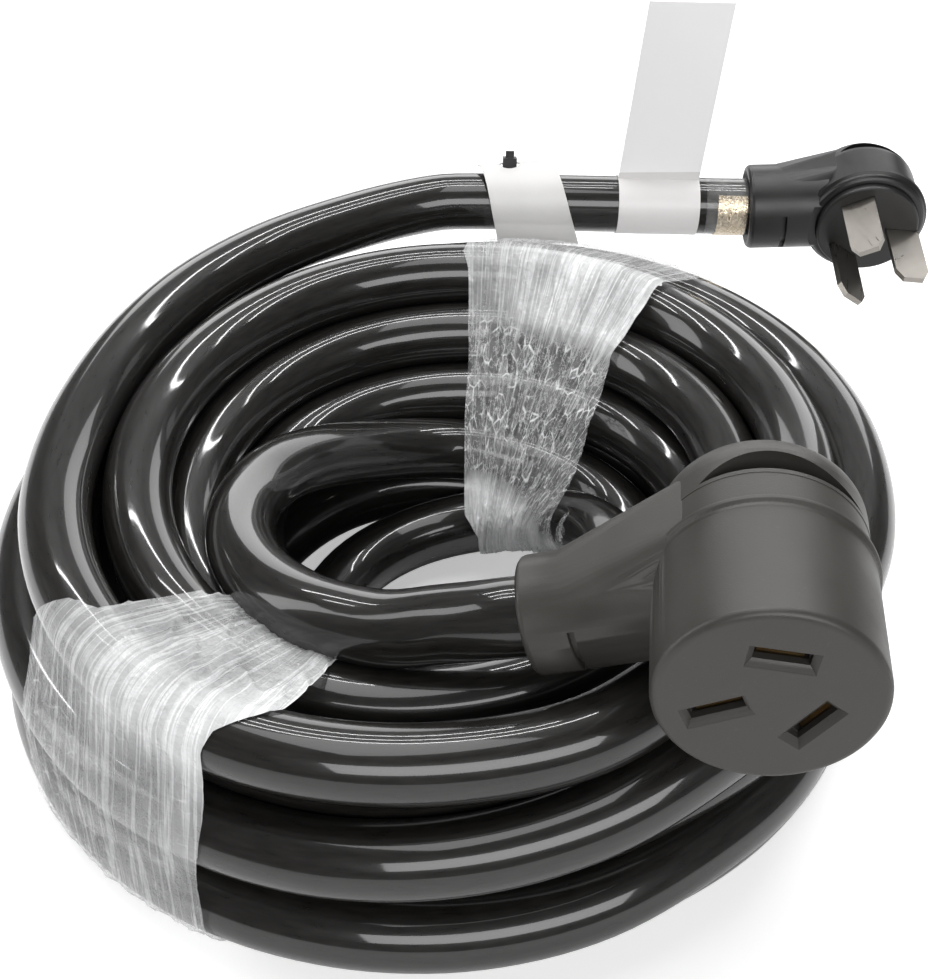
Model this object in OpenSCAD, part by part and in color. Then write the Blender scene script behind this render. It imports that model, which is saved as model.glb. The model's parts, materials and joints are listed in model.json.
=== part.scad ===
// Shore power cord: a heavy three-core extension lead wound in a coil, with a moulded
// right-angle plug on one end and a moulded right-angle connector on the other.
// Millimetres, +Z up. The coil lies on z = 0 and the blades point towards -Y.

/* [Cable] */
// Outside diameter of the round jacket
cable_d = 23; // [18:0.5:28]
// Diameter of one insulated core
core_d = 6.8; // [5:0.1:7.2]
// Diameter of the bare copper strand inside a core
strand_d = 5; // [3.5:0.1:5.4]

/* [Coil] */
// Radius of the innermost turn, at its middle
coil_inner_r = 47; // [40:1:60]
// Radius of the widest turn, at its middle
coil_outer_r = 149; // [135:1:165]
// Rise from one layer of turns to the next
layer_rise = 19.5; // [17:0.5:24]
// Number of layers
layers = 5; // [4:1:6]

/* [Stretch film] */
// Thickness of the wound film
film_t = 0.5; // [0.3:0.1:1.5]
// Air between the turns and the film
film_gap = 0.3; // [0.1:0.1:1]
// Direction of the middle of the front wrap, seen from above
film_front_at = 226; // [200:1:250]
// Direction of the middle of the back wrap, seen from above
film_back_at = 62; // [40:1:80]
// How far round the coil each wrap reaches
film_span = 42; // [20:1:60]

/* [Blades] */
// Width of a blade
blade_w = 13; // [10:0.5:16]
// Thickness of a blade
blade_t = 2.3; // [1.6:0.1:3]
// Length of a blade in front of its carrier
blade_len = 30; // [18:1:36]
// Radius of the circle that the blades stand on
blade_pitch_r = 14; // [12:0.5:16]
// Outside diameter of the crimp barrel on a blade or a contact
barrel_d = 7.6; // [6.6:0.1:9]
// Length of a crimp barrel
barrel_len = 7; // [6:0.5:8]

/* [Plug] */
// Radius of the round plug body
plug_r = 23.5; // [21:0.5:28]
// Distance of the cable's axis behind the front rim
plug_boot_y = 14; // [12:1:20]
// Length of the plug from its front rim to the back of its grip
plug_len = 33.5; // [33:0.5:38]
// Distance from the plug's axis to the mouth of its boot
plug_boot_reach = 47.5; // [43:0.5:60]
// Radius of the rigid carrier that holds the blades
carrier_r = 20.4; // [19:0.1:21]
// How far the carrier stands proud of the front rim
carrier_proud = 3; // [1:0.5:5]
// Depth of the carrier behind the front rim
carrier_depth = 4; // [3:0.5:5]

/* [Connector] */
// Radius of the round connector barrel
conn_r = 30; // [27:0.5:34]
// Length of the barrel from its front face to the bead
conn_barrel_len = 42; // [38:1:50]
// Distance of the cable's axis behind the front face
conn_boot_y = 44; // [42.5:0.5:46]
// Length of the connector from its front face to the back of its grip
conn_len = 74; // [68:0.5:80]
// Distance from the connector's axis to the mouth of its boot
conn_boot_reach = 65; // [57:0.5:75]
// Thickness of the front wall
conn_wall = 4; // [3:0.5:6]
// Radius of the rigid block that holds the contacts
block_r = 24.5; // [23:0.5:26]
// Length of the contact block
block_len = 33; // [32:0.5:34]
// Room on each side of a blade in its slot
slot_clear = 0.7; // [0.3:0.1:1.5]
// Width of the bevel round a slot
slot_bevel = 1.8; // [0.5:0.1:2.4]
// Thickness of a contact leaf
leaf_t = 0.9; // [0.6:0.1:1.2]
// Width of a contact leaf
leaf_w = 12; // [9:0.5:12]

/* [Moulding] */
// Radius of the boot round the cable
boot_r = 17; // [15:0.5:20]
// Depth of the recess in the boot's mouth
mouth_depth = 6; // [3:0.5:9]
// Radius of the edge round a front face
rim_round = 2.5; // [1:0.5:4]
// Height of the bead round a body
bead_h = 0.9; // [0.4:0.1:1.6]
// Depth of the finger slot in the connector
conn_grip_gap = 7; // [5:0.2:8]
// Depth of the finger slot in the plug
plug_grip_gap = 6.2; // [5:0.2:6.6]
// Thickness of the grip behind a finger slot
grip_t = 5.2; // [4:0.2:6]
// Width of the flex slots across a boot
flex_slot_w = 2; // [1:0.5:3]
// Depth of the flex slots
flex_slot_depth = 2.4; // [1:0.2:3.4]

/* [Labels] */
// Width of the flag label along the cable
flag_w = 33; // [20:1:45]
// Height of the flag above the cable
flag_h = 76; // [50:1:90]
// Thickness of one ply of label
label_t = 0.4; // [0.2:0.1:0.8]
// Length of the clear tape along the cable
tape_len = 17; // [10:1:20]
// Length of the foil sticker along the cable
foil_len = 12; // [6:1:14]
// Width of the hang tag along the cable
tag_w = 35; // [25:1:45]
// Length of the tag that hangs below the cable's side
tag_drop = 10; // [4:1:10]
// Thickness of the hang tag
tag_t = 0.6; // [0.4:0.1:1]
// Width of the cable tie
tie_w = 3.6; // [2.5:0.1:5]
// Thickness of the cable tie's strap
tie_t = 1.3; // [0.8:0.1:2]

/* [Hidden] */
$fn = 64;

cable_r = cable_d / 2;
fit = 0.15;        // between a rigid insert and the moulding round it
seat = 0.04;       // between an insert and the shoulder that it stands on
turn_fit = 0.4;    // between the cable and what turns on it
eps = 0.02;        // overlap of cutting shapes

// The whole cord is set so that the middle of its footprint is the origin.
coil_at = [-18.1, -12.85, 0];

// ---- Bundle of turns, as [radius, height] of the turns that shape its outline
top_z = cable_r + (layers - 1) * layer_rise;
waist = coil_outer_r - 2;
outer_turns = [
  [coil_outer_r - 3, cable_r],
  [waist, cable_r + layer_rise],
  [coil_outer_r, cable_r + 2 * layer_rise],
  [coil_outer_r - 7, cable_r + 3 * layer_rise],
  [coil_outer_r - 15, top_z]
];
hole_r = coil_outer_r - 39;   // the hole widens upwards to this
function hole_turn(share) = coil_inner_r + share * (hole_r - coil_inner_r);
inner_turns = [
  [hole_r, top_z - 5.5],
  [hole_turn(0.81), cable_r + 3 * layer_rise - 3],
  [hole_turn(0.59), cable_r + 2 * layer_rise - 1],
  [hole_turn(0.33), cable_r + layer_rise],
  [coil_inner_r, cable_r]
];
floor_turns = [for (r = [coil_inner_r + cable_d : cable_d : coil_outer_r - cable_d]) [r, cable_r]];

// ---- Places of the plug and the connector, which lie against the widest turn and the top layer
plug_at = [172.3, coil_outer_r + 2.7, top_z - 3.2];
plug_tilt = 7;
plug_roll = -2.5;
plug_yaw = -1.5;
conn_at = concat((coil_outer_r + 24.4) * [cos(-60.7), sin(-60.7)], top_z + 42.7);
conn_roll = -17.5;
conn_yaw = -5.5;

// The cable's end stands on the floor of the recess in a boot's mouth and comes straight out of it.
plug_cable_end = plug_point([-plug_boot_reach + mouth_depth - seat, plug_boot_y, 0]);
conn_cable_end = conn_point([-conn_boot_reach + mouth_depth - seat, conn_boot_y, 0]);
lead_out = plug_point([-plug_boot_reach, plug_boot_y, 0]);
conn_out = conn_point([-conn_boot_reach, conn_boot_y, 0]);

// ---- Routes of the two free leads; the labelled stretch of the plug's lead is straight
// and its end sinks in between the outer turns. The connector's lead dives into the hole.
function beside(r, dir, z) = [r * cos(dir), r * sin(dir), top_z + z];
lead_bend = [11, coil_outer_r + 16, top_z];
plug_lead_turns = [[14.1, 91.8], [10.3, 97.2], [5.5, 103.1], [0.9, 108.7], [-4, 114.4]];
lead_plug_route = concat(
  [for (k = [0 : 4]) lead_out + (lead_bend - lead_out) * k / 4],
  [for (p = plug_lead_turns) beside(coil_outer_r + p[0], p[1], 0)]);
conn_lead_turns = [
  [-7, -78, 21.8], [-10.6, -82.5, 18.1], [-15, -88.2, 13.5], [-18.1, -95, 9.3], [-20.5, -102.3, 6.3],
  [-21.8, -109.9, 3], [-22.8, -118, -1], [-22.8, -126.6, -6.5], [-23, -135.5, -12.5]
];
lead_conn_route = [for (p = conn_lead_turns) beside(hole_r + p[0], p[1], p[2])];

// Direction of the neutral on the circle of blades or slots, seen from the front.
plug_neutral_dir = -8;
conn_neutral_dir = 187;
hot_spread = 120;

// Depths inside the mouldings, measured back from the front rim.
strand_in = 6;            // bare strand inside a crimp barrel
core_bend = 4.4;          // radius of a core's turn into its barrel
core_straight = 8;        // straight run of the cores behind the cable's end
core_step = core_bend + 0.6;
chamber_r = blade_pitch_r + barrel_d / 2 + 0.8;
chamber_room = core_step + core_d / 2 + 0.9;
plug_end_y = carrier_depth + barrel_len;
block_back = conn_wall + block_len;
conn_end_y = block_back + barrel_len;
core_lie = core_d * 0.6;  // the three cores lie side by side on this circle
core_bundle_r = core_lie + core_d / 2;

// Where each label starts along the plug's lead, and how the lead rises there.
flag_x = 71.5;
tape_x = 107.3;
foil_x = 112;
tag_x = 18;
tie_x = 25.4;
lead_pitch = asin((lead_bend.z - lead_out.z) / norm(lead_bend - lead_out));
lead_turn = atan2(lead_out.y - lead_bend.y, lead_out.x - lead_bend.x);

// ---- Helpers ---------------------------------------------------------------
function unit(v) = v / norm(v);

function spline(p0, p1, p2, p3, t) =
  0.5 * (2 * p1 + (p2 - p0) * t + (2 * p0 - 5 * p1 + 4 * p2 - p3) * t * t
  + (3 * p1 - p0 - 3 * p2 + p3) * t * t * t);

function smooth_route(pts, steps) = let (last = len(pts) - 1) concat(
  [for (i = [0 : last - 1]) for (k = [0 : steps - 1])
    spline(pts[max(i - 1, 0)], pts[i], pts[i + 1], pts[min(i + 2, last)], k / steps)],
  [pts[last]]);

function heading(path, i) = unit(path[min(i + 1, len(path) - 1)] - path[max(i - 1, 0)]);

function ring_points(at, dir, r, sides) =
  let (side = unit(cross(dir, [0, 0, 1])), up = cross(side, dir))
  [for (k = [0 : sides - 1]) at + r * (cos(k * 360 / sides) * side + sin(k * 360 / sides) * up)];

// A round tube swept along a path; the section stays upright, so paths never climb steeply.
module tube(path, r, sides = 12) {
  count = len(path);
  polyhedron(
    points = [for (i = [0 : count - 1]) each ring_points(path[i], heading(path, i), r, sides)],
    faces = concat(
      [[for (k = [sides - 1 : -1 : 0]) k]],
      [for (i = [0 : count - 2]) for (k = [0 : sides - 1]) let (n = (k + 1) % sides)
        each [[i * sides + k, (i + 1) * sides + n, (i + 1) * sides + k],
              [i * sides + k, i * sides + n, (i + 1) * sides + n]]],
      [[for (k = [0 : sides - 1]) (count - 1) * sides + k]]),
    convexity = 6);
}

// Turns a shape about the local Y axis of a plug or connector and lays its length along +Y.
module along_y() { rotate([-90, 0, 0]) children(); }

// Stands a child at its place on the blade circle, its width along the local X axis.
module on_pitch(dir, turn) {
  rotate([0, -dir, 0]) translate([blade_pitch_r, 0, 0]) rotate([0, turn, 0]) children();
}

module neutral_place(neutral_dir) { on_pitch(neutral_dir, 0) children(); }
module hot_a_place(neutral_dir) { on_pitch(neutral_dir + hot_spread, 90) children(); }
module hot_b_place(neutral_dir) { on_pitch(neutral_dir - hot_spread, 90) children(); }

// A point of a plug or connector, as it lies in the coil's frame.
function turned(p, about_x, about_y, about_z) = let (
    a = [p.x, p.y * cos(about_x) - p.z * sin(about_x), p.y * sin(about_x) + p.z * cos(about_x)],
    b = [a.x * cos(about_y) + a.z * sin(about_y), a.y, a.z * cos(about_y) - a.x * sin(about_y)])
  [b.x * cos(about_z) - b.y * sin(about_z), b.x * sin(about_z) + b.y * cos(about_z), b.z];

function plug_point(p) = plug_at + turned(p, plug_tilt, plug_roll, plug_yaw);
function conn_point(p) = conn_at + turned(p, 0, conn_roll, conn_yaw);

module at_coil() { translate(coil_at) children(); }
module at_plug() { at_coil() translate(plug_at) rotate([plug_tilt, plug_roll, plug_yaw]) children(); }
module at_connector() { at_coil() translate(conn_at) rotate([0, conn_roll, conn_yaw]) children(); }

function arc(cx, cy, r, from, to, steps) =
  [for (i = [0 : steps]) let (a = from + (to - from) * i / steps) [cx + r * cos(a), cy + r * sin(a)]];

// ---- Cable -----------------------------------------------------------------
module bundle_outline() {
  for (p = concat(outer_turns, inner_turns, floor_turns)) translate(p) circle(r = cable_r);
  polygon(concat(outer_turns, inner_turns));
}

module cable_coil() {
  color([0.07, 0.07, 0.08]) at_coil() rotate_extrude($fn = 96) bundle_outline();
}

module cable_lead_plug() {
  color([0.07, 0.07, 0.08]) at_coil() tube(concat([plug_cable_end], smooth_route(lead_plug_route, 2)), cable_r);
}

module cable_lead_connector() {
  color([0.07, 0.07, 0.08]) at_coil() tube(concat([conn_cable_end], smooth_route(concat([conn_out], lead_conn_route), 2)), cable_r);
}

// ---- Mouldings shared by the plug and the connector --------------------------
// Round body: front face, rounded rim, barrel, bead, rear chamber with a domed back.
function dome_of(r) = 0.55 * r;

module body_of_turning(r, bead_y, rear_y) {
  shoulder = r - 1;
  dome = dome_of(r);
  along_y() rotate_extrude() polygon(concat(
    [[0, 0]],
    arc(r - rim_round, rim_round, rim_round, -90, 0, 4),
    [[r, bead_y - 1.6], [r + bead_h, bead_y - 0.8], [r + bead_h, bead_y + 0.8], [shoulder, bead_y + 2]],
    arc(shoulder - dome, rear_y - dome, dome, 0, 90, 8),
    [[0, rear_y]]));
}

// Teardrop fairing from the round body out to the mouth of the boot, with the boot itself.
module boot(r, boot_y, reach, rear_y) {
  web_front = boot_y + 1;
  web_back = rear_y - dome_of(r) / 2;
  difference() {
    union() {
      hull() {
        translate([0, web_front, 0]) along_y() cylinder(r = r - 3.5, h = web_back - web_front, $fn = 48);
        translate([-reach + 10, boot_y, 0]) rotate([0, 90, 0]) cylinder(r = boot_r - 0.4, h = 4, $fn = 48);
      }
      translate([-reach, boot_y, 0]) rotate([0, 90, 0]) rotate_extrude() polygon(concat(
        [[0, 0]],
        arc(boot_r - 2, 2, 2, -90, 0, 3),
        [[boot_r, reach - 6], [0, reach - 6]]));
    }
    along_y() translate([0, 0, -boot_r]) cylinder(r = r + 0.4, h = boot_r);
  }
}

// What is cut out of a boot: the recess in its mouth, its flex slots and the way for the cores.
module boot_cuts(boot_y, reach, end_y) {
  translate([-reach, boot_y, 0]) rotate([0, 90, 0]) {
    translate([0, 0, -eps]) cylinder(r1 = cable_r + 3.2, r2 = cable_r + turn_fit, h = mouth_depth + eps);
    for (side = [0, 180]) rotate([0, 0, side]) flex_slot();
  }
  slab = [8, 2 * (core_d / 2 + 1.2), 2 * (blade_pitch_r * 0.9 + core_d / 2 + 1.6)];
  translate([-reach + mouth_depth - eps, boot_y, 0]) rotate([0, 90, 0])
    cylinder(r = core_bundle_r + fit, h = core_straight + 0.5);
  hull() {
    translate([-reach + mouth_depth + core_straight, boot_y, 0]) rotate([0, 90, 0])
      cylinder(r = core_bundle_r + fit, h = 1, $fn = 32);
    translate([-8 - slab.x, end_y + core_step - slab.y / 2, -slab.z / 2]) cube(slab);
  }
}

// A short slot across the boot, on the quarter that faces forwards and down.
module flex_slot() {
  translate([0, 0, 13]) rotate([0, 0, 248]) rotate_extrude(angle = 70)
    translate([boot_r - flex_slot_depth, 0]) square([flex_slot_depth + 1, flex_slot_w]);
}

// Finger slot through the rear of a body, from top to bottom, which leaves the grip behind it.
module finger_slot(r, rear_y, gap) {
  half = r * 0.64;
  bow = (half * half + gap * gap) / (2 * gap);
  front = rear_y - grip_t - gap;
  translate([r * 0.22, front, 0]) linear_extrude(height = 3 * r, center = true) intersection() {
    translate([0, gap - bow]) circle(r = bow, $fn = 96);
    translate([-half, 0]) square([2 * half, gap + 1]);
  }
}

// Room behind the blades or the contacts, where the barrels and the cores lie.
module core_chamber(from_y, end_y) {
  along_y() translate([0, 0, from_y - eps]) cylinder(r = chamber_r, h = end_y + chamber_room - from_y);
}

// ---- Conductors ------------------------------------------------------------
// Blade seen on its broad side, with the corners of its tip cut back.
module blade_outline(length) {
  half = blade_w / 2;
  polygon([
    [-half, 0], [half, 0], [half, -length + 5], [half - 2.6, -length],
    [-half + 2.6, -length], [-half, -length + 5]
  ]);
}

module barrel(from_y) {
  translate([0, from_y + seat, 0]) along_y() difference() {
    cylinder(d = barrel_d, h = barrel_len - seat, $fn = 40);
    translate([0, 0, barrel_len - seat - strand_in]) cylinder(d = strand_d + 2 * fit, h = strand_in + 1, $fn = 40);
  }
}

// Tongue that joins a blade or a contact to its barrel.
module neck(at_y, t) { translate([-2.5, at_y - 0.6, -t / 2]) cube([5, 1.4, t]); }

module blade() {
  translate([0, carrier_depth, -blade_t / 2]) linear_extrude(height = blade_t)
    blade_outline(carrier_depth + carrier_proud + blade_len);
  neck(carrier_depth, blade_t);
  barrel(carrier_depth);
}

// Fork of two sprung leaves with flared lips, closed at the root and crimped behind.
module contact() {
  inner = blade_t / 2 + 0.1;
  outer = inner + leaf_t;
  flare = 0.8;
  lip = conn_wall + 1;
  lip_end = lip + 2;
  root = block_back - 1.2;
  translate([-leaf_w / 2, 0, 0]) rotate([90, 0, 90]) linear_extrude(height = leaf_w) polygon([
    [lip, outer + flare], [lip_end, outer], [block_back, outer], [block_back, -outer], [lip_end, -outer],
    [lip, -outer - flare], [lip, -inner - flare], [lip_end, -inner], [root, -inner], [root, inner],
    [lip_end, inner], [lip, inner + flare]
  ]);
  neck(block_back, 2 * outer);
  barrel(block_back);
}

// Steel band round both leaves, which presses them onto the blade.
module contact_spring() {
  inside = [leaf_w + 2 * fit, blade_t + 0.2 + 2 * leaf_t + fit];
  translate([0, block_back - 11, 0]) rotate([90, 0, 0]) linear_extrude(height = 12) difference() {
    square([inside.x + 1.4, inside.y + 1.4], center = true);
    square(inside, center = true);
  }
}

// Path of one insulated core, from the cable's end to the barrel that stands at dir on the circle.
// The neutral lies at the back of the cable, the other two cores above and below in front of it.
function core_path(reach, boot_y, dir, above, end_y) = let (
    x = blade_pitch_r * cos(dir),
    z = blade_pitch_r * sin(dir),
    from_x = -reach + mouth_depth,
    lie_y = boot_y + (above == 0 ? core_lie : -core_lie / 2),
    lie_z = above * core_lie * 0.866,
    bend_x = x - core_bend,
    bend_y = end_y + core_step,
    rise_x = min(-16, bend_x - 6),
    rise_z = z * (above == 0 ? 0.2 : 0.88))
  concat(
    [[from_x + seat, lie_y, lie_z]],
    smooth_route([[from_x + core_straight, lie_y, lie_z], [rise_x, bend_y, rise_z],
      [rise_x + 0.7 * (bend_x - rise_x), bend_y, z], [bend_x, bend_y, z]], 4),
    [for (a = [18 : 18 : 90]) [bend_x + core_bend * sin(a), bend_y - core_bend * (1 - cos(a)), z]],
    [[x, end_y, z]]);

module core(reach, boot_y, dir, above, end_y) {
  tube(core_path(reach, boot_y, dir, above, end_y), core_d / 2, 12);
  on_pitch(dir, 0) translate([0, end_y - strand_in + 0.5, 0]) along_y()
    cylinder(d = strand_d, h = strand_in + 1, $fn = 40);
}

module metal() { color([0.78, 0.77, 0.74]) children(); }
module moulded() { color([0.16, 0.16, 0.17]) children(); }

// ---- Plug --------------------------------------------------------------------
module plug_blade_neutral() { metal() at_plug() neutral_place(plug_neutral_dir) blade(); }
module plug_blade_hot_a() { metal() at_plug() hot_a_place(plug_neutral_dir) blade(); }
module plug_blade_hot_b() { metal() at_plug() hot_b_place(plug_neutral_dir) blade(); }

module blade_way() {
  translate([0, carrier_depth / 2, 0])
    cube([blade_w + 2 * fit, 4 * (carrier_depth + carrier_proud), blade_t + 2 * fit], center = true);
}

module plug_blade_carrier() {
  color([0.13, 0.13, 0.14]) at_plug() difference() {
    along_y() translate([0, 0, -carrier_proud]) rotate_extrude() polygon(concat(
      [[0, 0]],
      arc(carrier_r - 1, 1, 1, -90, 0, 3),
      [[carrier_r, carrier_proud + carrier_depth], [0, carrier_proud + carrier_depth]]));
    neutral_place(plug_neutral_dir) blade_way();
    hot_a_place(plug_neutral_dir) blade_way();
    hot_b_place(plug_neutral_dir) blade_way();
  }
}

module plug_core(dir, above) { at_plug() core(plug_boot_reach, plug_boot_y, dir, above, plug_end_y); }

module plug_core_white() { color([0.93, 0.93, 0.92]) plug_core(plug_neutral_dir, 0); }
module plug_core_black() { color([0.1, 0.1, 0.1]) plug_core(plug_neutral_dir + hot_spread, 1); }
module plug_core_red() { color([0.7, 0.1, 0.1]) plug_core(plug_neutral_dir - hot_spread, -1); }

module plug_housing() {
  moulded() at_plug() difference() {
    union() {
      body_of_turning(plug_r, 4, plug_len);
      boot(plug_r, plug_boot_y, plug_boot_reach, plug_len);
    }
    along_y() translate([0, 0, -eps]) cylinder(r = carrier_r + fit, h = carrier_depth + seat + eps);
    core_chamber(carrier_depth, plug_end_y);
    boot_cuts(plug_boot_y, plug_boot_reach, plug_end_y);
    finger_slot(plug_r, plug_len, plug_grip_gap);
  }
}

// ---- Connector -----------------------------------------------------------------
// Slot for a blade in the front wall, with its bevelled mouth.
module blade_slot() {
  wide = blade_w + 2 * slot_clear;
  high = blade_t + 2 * slot_clear;
  translate([-wide / 2, -1, -high / 2]) cube([wide, conn_wall + 2, high]);
  hull() {
    translate([-wide / 2 - slot_bevel, -0.2, -high / 2 - slot_bevel])
      cube([wide + 2 * slot_bevel, 0.2, high + 2 * slot_bevel]);
    translate([-wide / 2, slot_bevel - 0.1, -high / 2]) cube([wide, 0.1, high]);
  }
}

module connector_housing() {
  moulded() at_connector() difference() {
    union() {
      body_of_turning(conn_r, conn_barrel_len, conn_len);
      boot(conn_r, conn_boot_y, conn_boot_reach, conn_len);
    }
    along_y() translate([0, 0, conn_wall - seat]) cylinder(r = block_r + fit, h = block_len + 2 * seat);
    core_chamber(block_back, conn_end_y);
    boot_cuts(conn_boot_y, conn_boot_reach, conn_end_y);
    finger_slot(conn_r, conn_len, conn_grip_gap);
    neutral_place(conn_neutral_dir) blade_slot();
    hot_a_place(conn_neutral_dir) blade_slot();
    hot_b_place(conn_neutral_dir) blade_slot();
  }
}

module contact_pocket() {
  translate([0, conn_wall + block_len / 2, 0])
    cube([leaf_w + 2, block_len + 2, blade_t + 2 * leaf_t + 2.2], center = true);
}

module connector_contact_block() {
  color([0.24, 0.23, 0.22]) at_connector() difference() {
    along_y() translate([0, 0, conn_wall]) cylinder(r = block_r, h = block_len);
    neutral_place(conn_neutral_dir) contact_pocket();
    hot_a_place(conn_neutral_dir) contact_pocket();
    hot_b_place(conn_neutral_dir) contact_pocket();
  }
}

module brass() { color([0.80, 0.62, 0.30]) children(); }
module connector_contact_neutral() { brass() at_connector() neutral_place(conn_neutral_dir) contact(); }
module connector_contact_hot_a() { brass() at_connector() hot_a_place(conn_neutral_dir) contact(); }
module connector_contact_hot_b() { brass() at_connector() hot_b_place(conn_neutral_dir) contact(); }
module connector_spring_neutral() { metal() at_connector() neutral_place(conn_neutral_dir) contact_spring(); }
module connector_spring_hot_a() { metal() at_connector() hot_a_place(conn_neutral_dir) contact_spring(); }
module connector_spring_hot_b() { metal() at_connector() hot_b_place(conn_neutral_dir) contact_spring(); }

module conn_core(dir, above) { at_connector() core(conn_boot_reach, conn_boot_y, dir, above, conn_end_y); }

module connector_core_white() { color([0.93, 0.93, 0.92]) conn_core(conn_neutral_dir, 0); }
module connector_core_black() { color([0.1, 0.1, 0.1]) conn_core(conn_neutral_dir + hot_spread, -1); }
module connector_core_red() { color([0.7, 0.1, 0.1]) conn_core(conn_neutral_dir - hot_spread, 1); }

// ---- Stretch film --------------------------------------------------------------
module film_round(r) {
  hull() for (p = concat(outer_turns, inner_turns)) translate(p) circle(r = r);
}

module film_wrap(middle_at) {
  color([0.85, 0.87, 0.88, 0.4]) at_coil() rotate([0, 0, middle_at - film_span / 2])
    rotate_extrude(angle = film_span) intersection() {
      difference() {
        film_round(cable_r + film_gap + film_t);
        film_round(cable_r + film_gap);
      }
      translate([0, 0.4]) square([2 * coil_outer_r, 2 * top_z]);
    }
}

module film_wrap_front() { film_wrap(film_front_at); }
module film_wrap_back() { film_wrap(film_back_at); }

// ---- Labels on the plug's lead ---------------------------------------------------
// Frame on the lead's axis at x: X runs along the cable towards the plug, Z points up.
module on_lead(x) {
  share = (x - lead_out.x) / (lead_bend.x - lead_out.x);
  at_coil() translate(lead_out + share * (lead_bend - lead_out)) rotate([0, lead_pitch, lead_turn])
    children();
}

// Extrudes a section drawn in the plane across the cable: first axis to the back, second up.
module across(length) { rotate([90, 0, 90]) linear_extrude(height = length) children(); }

module band(r, t) {
  difference() {
    circle(r = r + t, $fn = 72);
    circle(r = r, $fn = 72);
  }
}

skin_r = cable_r + 0.05;   // inside of a label that lies on the jacket
foil_t = 0.3;
past = 2 * cable_d;        // reach of a cut that goes well past the cable
flag_lean = 5;             // how far the flag's top leans towards the plug
flag_foot = cable_r + 0.1;

module flag_label() {
  color([0.88, 0.87, 0.86]) on_lead(flag_x) {
    across(flag_w) band(skin_r, label_t);
    translate([0, 2 * label_t, 0]) rotate([90, 0, 0]) linear_extrude(height = 2 * label_t) polygon([
      [0, flag_foot], [flag_w, flag_foot],
      [flag_w + flag_lean, flag_foot + flag_h], [flag_lean, flag_foot + flag_h]
    ]);
  }
}

module foil_sticker() {
  color([0.80, 0.66, 0.36]) on_lead(foil_x) across(foil_len) intersection() {
    band(skin_r, foil_t);
    polygon([[0, 0], past * [cos(129), sin(129)], [-past, 0], past * [cos(250), sin(250)]]);
  }
}

module clear_tape() {
  color([0.9, 0.9, 0.9, 0.3]) on_lead(tape_x) across(tape_len) band(skin_r + foil_t + 0.05, label_t / 2);
}

tie_r = cable_r + turn_fit;
tag_r = tie_r + tie_t + 0.2;
tag_top = 52;       // direction of the tag's upper edge, measured from the back
tag_side = 188;     // direction where the tag leaves the cable
head_dir = 72;
head_w = 5.6;
head_h = 6;         // height of the tie's head above the strap
tail = [3.4, 3, 1.4];

module cable_tie() {
  color([0.05, 0.05, 0.05]) on_lead(tie_x) {
    across(tie_w) band(tie_r, tie_t);
    translate([tie_w / 2, 0, 0]) rotate([head_dir, 0, 0]) translate([-head_w / 2, tie_r + 0.4, -2.6])
      cube([head_w, head_h, 5.2]);
    translate([tie_w / 2, 0, 0]) rotate([head_dir, 0, 0]) translate([-tail.x / 2, tie_r + head_h, -tail.z / 2])
      cube(tail);
  }
}

module hang_tag() {
  side_at = [cos(tag_side), sin(tag_side)];
  down = [-sin(tag_side), cos(tag_side)];
  color([0.93, 0.93, 0.92]) difference() {
    on_lead(tag_x) across(tag_w) polygon(concat(
      arc(0, 0, tag_r, tag_top, tag_side, 24),
      [tag_r * side_at + tag_drop * down, (tag_r + tag_t) * side_at + tag_drop * down],
      arc(0, 0, tag_r + tag_t, tag_side, tag_top, 24)));
    on_lead(tie_x) translate([tie_w / 2, 0, 0]) rotate([head_dir, 0, 0])
      rotate([-90, 0, 0]) cylinder(r = head_w / 2 + 1.5, h = past, $fn = 32);
  }
}

cable_coil();
cable_lead_plug();
cable_lead_connector();
plug_housing();
plug_blade_carrier();
plug_blade_neutral();
plug_blade_hot_a();
plug_blade_hot_b();
plug_core_white();
plug_core_black();
plug_core_red();
connector_housing();
connector_contact_block();
connector_contact_neutral();
connector_contact_hot_a();
connector_contact_hot_b();
connector_spring_neutral();
connector_spring_hot_a();
connector_spring_hot_b();
connector_core_white();
connector_core_black();
connector_core_red();
film_wrap_front();
film_wrap_back();
flag_label();
clear_tape();
foil_sticker();
hang_tag();
cable_tie();
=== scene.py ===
"""Shore power cord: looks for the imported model.

Lengths are in metres in the model's own frame, with +Z up and the coil lying on z = 0.
The numbers of the winding and the films are in millimetres about the middle of the coil, and
those of the tag and the connector's moulding are in millimetres in a frame of their own.
"""

import json
import math

import bmesh
import bpy
import numpy as np
from mathutils import Euler, Matrix, Vector, noise


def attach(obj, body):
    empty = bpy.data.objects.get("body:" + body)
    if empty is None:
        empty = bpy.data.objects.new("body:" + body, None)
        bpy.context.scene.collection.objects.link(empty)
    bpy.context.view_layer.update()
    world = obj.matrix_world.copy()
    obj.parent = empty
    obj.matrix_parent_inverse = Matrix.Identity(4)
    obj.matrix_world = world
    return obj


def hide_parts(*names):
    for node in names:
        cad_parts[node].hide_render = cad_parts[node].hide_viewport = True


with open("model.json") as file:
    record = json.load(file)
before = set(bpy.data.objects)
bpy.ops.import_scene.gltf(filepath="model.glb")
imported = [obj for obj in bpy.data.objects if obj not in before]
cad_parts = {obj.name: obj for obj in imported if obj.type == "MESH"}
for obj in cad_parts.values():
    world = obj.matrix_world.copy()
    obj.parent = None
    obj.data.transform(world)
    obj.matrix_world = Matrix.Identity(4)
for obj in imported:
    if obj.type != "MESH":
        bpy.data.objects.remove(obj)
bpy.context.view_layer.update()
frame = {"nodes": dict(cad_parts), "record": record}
nodes = frame["nodes"]

MM = 0.001
COIL_MIDDLE = (-9.1, -13.85)    # of the winding, in the model's frame
CABLE_D = 23.0


def deselect():
    bpy.ops.object.select_all(action="DESELECT")


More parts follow.
